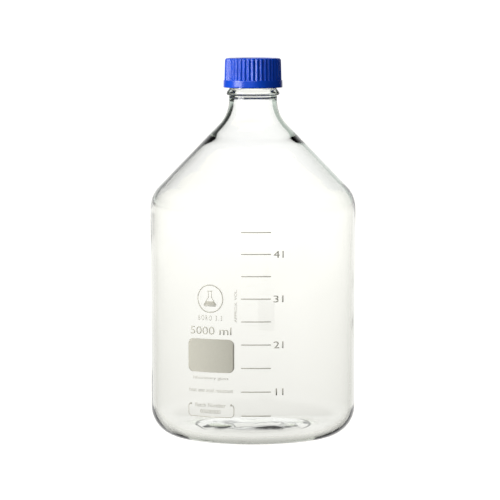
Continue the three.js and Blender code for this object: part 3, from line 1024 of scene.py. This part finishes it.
def make_numerals(settings, material):
    """The litre numbers beside every second mark."""
    flats = []
    height = 0.0060
    right = 0.0266
    for litres, name in enumerate(MARKS[1::2], 1):
        low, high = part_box(name)
        middle = (low.z + high.z) / 2
        # The figure 1 is narrower than the others.
        left = 0.0197 if litres == 1 else 0.0177
        area = (left, right, middle - height / 2, middle + height / 2)
        flats.append(lettering(f"{litres} l", *area, word_gap=0.4))
    return print_on_wall("litre_numbers", flats, settings, material)


def make_field(settings, material):
    """The writing field, a plain patch of enamel with round corners."""
    corner = 0.0050
    half = COLUMN_WIDTH / 2
    outline = rounded_box(COLUMN - half, COLUMN + half, field_low.z, field_high.z, corner)
    return print_on_wall("writing_panel", [flat_from_outline([outline])], settings, material)


def make_code_frame(settings, material):
    """The batch code's frame, open along its top between two dots."""
    stroke = 0.0007
    dot = 0.0009
    lower_round = 0.0036 - stroke / 2
    upper_round = 0.0028 - stroke / 2
    bottom = code_low.z + stroke / 2
    top = code_high.z - 0.0005 - stroke / 2
    quarter = [(math.sin(math.radians(a)), math.cos(math.radians(a))) for a in range(0, 91, 10)]
    flats = []
    for side, end in ((1, code_high.x), (-1, code_low.x)):
        edge = along_wall(end) - side * stroke / 2
        path = [(COLUMN, bottom)]
        for sine, cosine in quarter:
            path.append((edge - side * lower_round * (1 - sine), bottom + lower_round * (1 - cosine)))
        for sine, cosine in quarter:
            path.append((edge - side * upper_round * (1 - cosine), top - upper_round * (1 - sine)))
        flats.append(flat_from_outline([stroke_outline(path, stroke)]))
        flats.append(flat_from_outline([ring_of(*path[-1], dot, 24)]))
    return print_on_wall("batch_frame", flats, settings, material)


def stroke_outline(path, width):
    """The outline of a line of even width along a path."""
    left, right = [], []
    for i, (x, z) in enumerate(path):
        before, after = path[max(i - 1, 0)], path[min(i + 1, len(path) - 1)]
        along = Vector((after[0] - before[0], after[1] - before[1])).normalized()
        left.append((x - along.y * width / 2, z + along.x * width / 2))
        right.append((x + along.y * width / 2, z - along.x * width / 2))
    return [*left, *reversed(right)]


def make_symbol(settings, material):
    """A ring round a conical flask, the sign for laboratory glass."""
    middle = (symbol_low.z + symbol_high.z) / 2
    radius = (symbol_high.z - symbol_low.z) / 2
    stroke = 0.0009
    # The right half of each shape, in shares of the ring's radius.
    halves = {
        "flask": [(0.19, 0.56), (0.19, 0.5), (0.14, 0.5), (0.14, 0.12), (0.5, -0.44), (0.42, -0.54)],
        "hollow": [(0.09, 0.5), (0.09, 0.1), (0.42, -0.42), (0.39, -0.47)],
        "liquid": [(0.29, -0.17), (0.42, -0.40), (0.38, -0.45)],
    }
    drawn = {}
    for name, half in halves.items():
        whole = [*half, *[(-x, z) for x, z in reversed(half)]]
        drawn[name] = [(COLUMN + x * radius, middle + z * radius) for x, z in whole]
    ring = flat_from_outline([ring_of(COLUMN, middle, radius), ring_of(COLUMN, middle, radius - stroke)])
    circle = print_on_wall("symbol_circle", [ring], settings, material)
    flask = [flat_from_outline([drawn["flask"], drawn["hollow"]]), flat_from_outline([drawn["liquid"]])]
    return circle, print_on_wall("symbol_drawing", flask, settings, material)


def make_words(settings, material):
    """The generic lettering: what the glass is, how much it holds, and the batch number."""
    # Each line's words, half its width, its bottom and its top.
    groups = {
        "capacity": [("5000 ml", 0.0195, 0.0981, 0.1049)],
        "glass_sort": [("B O R O   3 . 3", 0.0112, symbol_low.z - 0.0066, symbol_low.z - 0.0022)],
        "use_lines": [
            ("laboratory glass", 0.0168, field_low.z - 0.0068, field_low.z - 0.0036),
            ("heat and acid resistant", 0.021, code_high.z + 0.0098, code_high.z + 0.0132),
        ],
        "batch_number": [
            ("Batch Number", COLUMN_WIDTH * 0.33, code_high.z - 0.0032, code_high.z + 0.0004),
            ("00000000", COLUMN_WIDTH * 0.22, code_high.z - 0.0088, code_high.z - 0.0054),
        ],
    }
    flats = {
        name: [lettering(text, COLUMN - half, COLUMN + half, low, high) for text, half, low, high in lines]
        for name, lines in groups.items()
    }
    # These words stand upright, just left of the scale.
    flats["approximate_volume"] = [
        lettering("APPROX. VOL.", -0.0162, -0.0139, 0.1093, 0.1378, upright=True)
    ]
    return [print_on_wall(name, words, settings, material) for name, words in flats.items()]


# ---- Studio ----


def through_one_wall(tree, path):
    """1 for light that has gone into glass and out again once, as it does along an outline, and 0
    for light that has crossed the whole hollow bottle."""
    depth = {0: path.outputs["Transmission Depth"], 1: 2.5}
    shallow = add_node(tree, "ShaderNodeMath", depth, operation="LESS_THAN")
    both = {0: shallow, 1: path.outputs["Is Transmission Ray"]}
    return add_node(tree, "ShaderNodeMath", both, operation="MULTIPLY")


def make_world():
    """White all round for what is seen direct or through the bottle, with a greyer ceiling.
    Outlines are drawn by cards, dark on the left and grey-green on the right. Reflections see a
    bright strip behind the bottle and little else, and shading sees a dim room, bright on the left."""
    world = bpy.data.worlds.new("studio")
    bpy.context.scene.world = world
    world.use_nodes = True
    tree = world.node_tree
    tree.nodes.clear()
    where = add_node(tree, "ShaderNodeTexCoord").outputs["Generated"]
    x, y, z = add_node(tree, "ShaderNodeSeparateXYZ", {"Vector": where}).outputs
    path = add_node(tree, "ShaderNodeLightPath")
    # Each level goes smoothly from one value to another as a direction goes from low to high.
    levels = {}
    for name, (value, low, high, from_level, to_level) in {
        "ceiling": (z, 0.32, 0.6, 1.15, 0.5),
        "card": (x, -0.05, 0.2, 0.05, 0.6),
        "above the floor": (z, -0.06, 0.1, 0.0, 1.0),
        "room across": (x, -0.9, 0.4, 0.75, 0.22),
        "room upward": (z, -0.4, 0.6, 0.5, 1.3),
        "behind": (y, 0.72, 0.98, 0.0, 0.95),
        "left wall": (x, -1.0, 0.0, 0.1, 0.004),
    }.items():
        change = {"From Min": low, "From Max": high, "To Min": from_level, "To Max": to_level}
        change["Value"] = value
        levels[name] = add_node(tree, "ShaderNodeMapRange", change, interpolation_type="SMOOTHSTEP")
    cards = {"Value": levels["above the floor"], "To Min": 0.9, "To Max": levels["card"]}
    card = add_node(tree, "ShaderNodeMapRange", cards)
    sides = {0: levels["room across"], 1: levels["room upward"]}
    room = add_node(tree, "ShaderNodeMath", sides, operation="MULTIPLY")
    strips = {0: levels["behind"], 1: levels["left wall"]}
    gloss = add_node(tree, "ShaderNodeMath", strips, operation="MAXIMUM")
    # What each kind of light sees, from the most particular kind to the least.
    white = linear("#FFFFFF")
    seen = [
        (path.outputs["Is Camera Ray"], 1.1, white),
        (through_one_wall(tree, path), card, linear("#F2FFF6")),
        (path.outputs["Is Transmission Ray"], levels["ceiling"], white),
        (path.outputs["Is Glossy Ray"], gloss, white),
    ]
    final = add_node(tree, "ShaderNodeBackground", {"Strength": room, "Color": white})
    for kind, level, colour in reversed(seen):
        light = add_node(tree, "ShaderNodeBackground", {"Strength": level, "Color": colour})
        choice = {0: kind, 1: final, 2: light}
        final = add_node(tree, "ShaderNodeMixShader", choice)
    add_node(tree, "ShaderNodeOutputWorld", {"Surface": final})


def make_floor(material):
    """A wide paper disc just under the foot."""
    segments = 96
    drop = 0.0004
    rings = [0.12, 0.5, 1.5, 4.0, 9.0]
    points = [(0, 0, -drop)]
    for radius in rings:
        points += [(x, y, -drop) for x, y in ring_of(0, 0, radius, segments)]
    faces = []
    for i in range(segments):
        after = (i + 1) % segments
        faces.append((0, 1 + i, 1 + after))
        for ring in range(len(rings) - 1):
            a, b = 1 + ring * segments, 1 + (ring + 1) * segments
            faces.append((a + i, b + i, b + after, a + after))
    floor = object_from("floor", points, faces, material)
    floor.visible_diffuse = False
    floor.visible_glossy = False
    floor.visible_shadow = False
    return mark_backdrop(floor)


def add_softbox(name, azimuth, elevation, distance, width, height, power):
    """A rectangular light that faces the bottle's neck. Azimuth 0 is on the camera's side."""
    target = Vector((0, 0, 0.25))
    level = math.cos(elevation)
    way = Vector((math.sin(azimuth) * level, -math.cos(azimuth) * level, math.sin(elevation)))
    lamp = bpy.data.lights.new(name, "AREA")
    lamp.shape = "RECTANGLE"
    lamp.size = width
    lamp.size_y = height
    lamp.energy = power
    holder = bpy.data.objects.new(name, lamp)
    holder.location = target + way * distance
    holder.rotation_euler = (-way).to_track_quat("-Z", "Y").to_euler()
    holder.visible_camera = False
    holder.visible_transmission = False
    bpy.context.scene.collection.objects.link(holder)


def make_camera(settings):
    """A long lens that looks slightly down on the print's side."""
    lens = bpy.data.cameras.new("camera")
    lens.sensor_width = 36
    lens.lens = settings.lens
    lens.shift_x = -0.006
    lens.clip_end = 50
    camera = bpy.data.objects.new("camera", lens)
    camera.location = (0, -settings.distance, settings.height)
    camera.rotation_euler = (math.pi / 2 - settings.tilt, 0, 0)
    bpy.context.scene.collection.objects.link(camera)
    bpy.context.scene.camera = camera


# ---- Operators ----


class OBJECT_OT_bottle_glass(bpy.types.Operator):
    """Make the blown glass bottle"""

    bl_idname = "object.bottle_glass"
    bl_label = "Blown Glass"

    def execute(self, context):
        settings = context.scene.bottle_glass
        piece = make_blown_glass(settings, borosilicate_glass(settings.tint))
        belongs(piece, "bottle", "borosilicate_glass", "glass_bottle")
        return {"FINISHED"}


class OBJECT_OT_bottle_closure(bpy.types.Operator):
    """Make the pouring ring, the seal and the screw cap"""

    bl_idname = "object.bottle_closure"
    bl_label = "Ring, Seal and Cap"

    def execute(self, context):
        settings = context.scene.bottle_cap
        blue = moulded_polypropylene("blue_polypropylene", settings.colour, 0.25, 0.00003)
        natural = moulded_polypropylene("natural_polypropylene", "#EDEBE3", 0.42, 0.00003)
        belongs(make_lip_ring(blue), "bottle", "blue_polypropylene", "pouring_ring")
        belongs(make_seal_disc(natural), "seal", "seal_polypropylene", "cap_seal")
        belongs(make_cap(settings, blue), "cap", "blue_polypropylene", "screw_cap")
        return {"FINISHED"}


class OBJECT_OT_bottle_print(bpy.types.Operator):
    """Make the enamel print on the wall"""

    bl_idname = "object.bottle_print"
    bl_label = "Enamel Print"

    def execute(self, context):
        settings = context.scene.bottle_print
        enamel = fired_enamel(settings.colour)
        slot = "fired_enamel"
        belongs(make_marks(settings, enamel), "bottle", slot, *MARKS)
        belongs(make_numerals(settings, enamel), "bottle", slot)
        belongs(make_field(settings, enamel), "bottle", slot, "writing_field")
        belongs(make_code_frame(settings, enamel), "bottle", slot, "code_frame")
        circle, drawing = make_symbol(settings, enamel)
        belongs(circle, "bottle", slot, "symbol_ring")
        belongs(drawing, "bottle", slot, "symbol_flask")
        for piece in make_words(settings, enamel):
            belongs(piece, "bottle", slot)
        return {"FINISHED"}


class OBJECT_OT_bottle_studio(bpy.types.Operator):
    """Make the camera, lights, world and floor"""

    bl_idname = "object.bottle_studio"
    bl_label = "Studio"

    def execute(self, context):
        settings = context.scene.bottle_studio
        make_camera(settings)
        make_world()
        make_floor(matt_paper())
        add_softbox("key", math.radians(-61), math.radians(20), 1.6, 1.0, 1.2, settings.key)
        add_softbox("fill", math.radians(-8), math.radians(25), 2.2, 1.2, 1.2, settings.key * 0.35)
        scene = context.scene
        scene.view_settings.view_transform = "Standard"
        scene.cycles.use_denoising = True
        scene.cycles.max_bounces = 32
        scene.cycles.transmission_bounces = 28
        scene.cycles.glossy_bounces = 12
        scene.cycles.transparent_max_bounces = 16
        return {"FINISHED"}


class VIEW3D_PT_bottle(bpy.types.Panel):
    """Lists the steps that make the bottle"""

    bl_label = "Laboratory Bottle"
    bl_idname = "VIEW3D_PT_bottle"
    bl_space_type = "VIEW_3D"
    bl_region_type = "UI"
    bl_category = "Bottle"

    def draw(self, context):
        for group in ("bottle_glass", "bottle_closure", "bottle_print", "bottle_studio"):
            self.layout.operator(f"object.{group}")
        for group in SETTINGS:
            box = self.layout.box()
            settings = getattr(context.scene, group)
            for name in settings.bl_rna.properties.keys():
                if name not in ("rna_type", "name"):
                    box.prop(settings, name)


SETTINGS = {
    "bottle_glass": GlassSettings,
    "bottle_cap": CapSettings,
    "bottle_print": PrintSettings,
    "bottle_studio": StudioSettings,
}
CLASSES = [
    *SETTINGS.values(),
    OBJECT_OT_bottle_glass,
    OBJECT_OT_bottle_closure,
    OBJECT_OT_bottle_print,
    OBJECT_OT_bottle_studio,
    VIEW3D_PT_bottle,
]


def register():
    for kind in CLASSES:
        bpy.utils.register_class(kind)
    for name, kind in SETTINGS.items():
        setattr(bpy.types.Scene, name, bpy.props.PointerProperty(type=kind))


def unregister():
    for name in SETTINGS:
        delattr(bpy.types.Scene, name)
    for kind in reversed(CLASSES):
        bpy.utils.unregister_class(kind)


def main():
    register()
    bpy.ops.object.bottle_studio()
    bpy.ops.object.bottle_glass()
    bpy.ops.object.bottle_closure()
    bpy.ops.object.bottle_print()


if __name__ == "__main__":
    main()
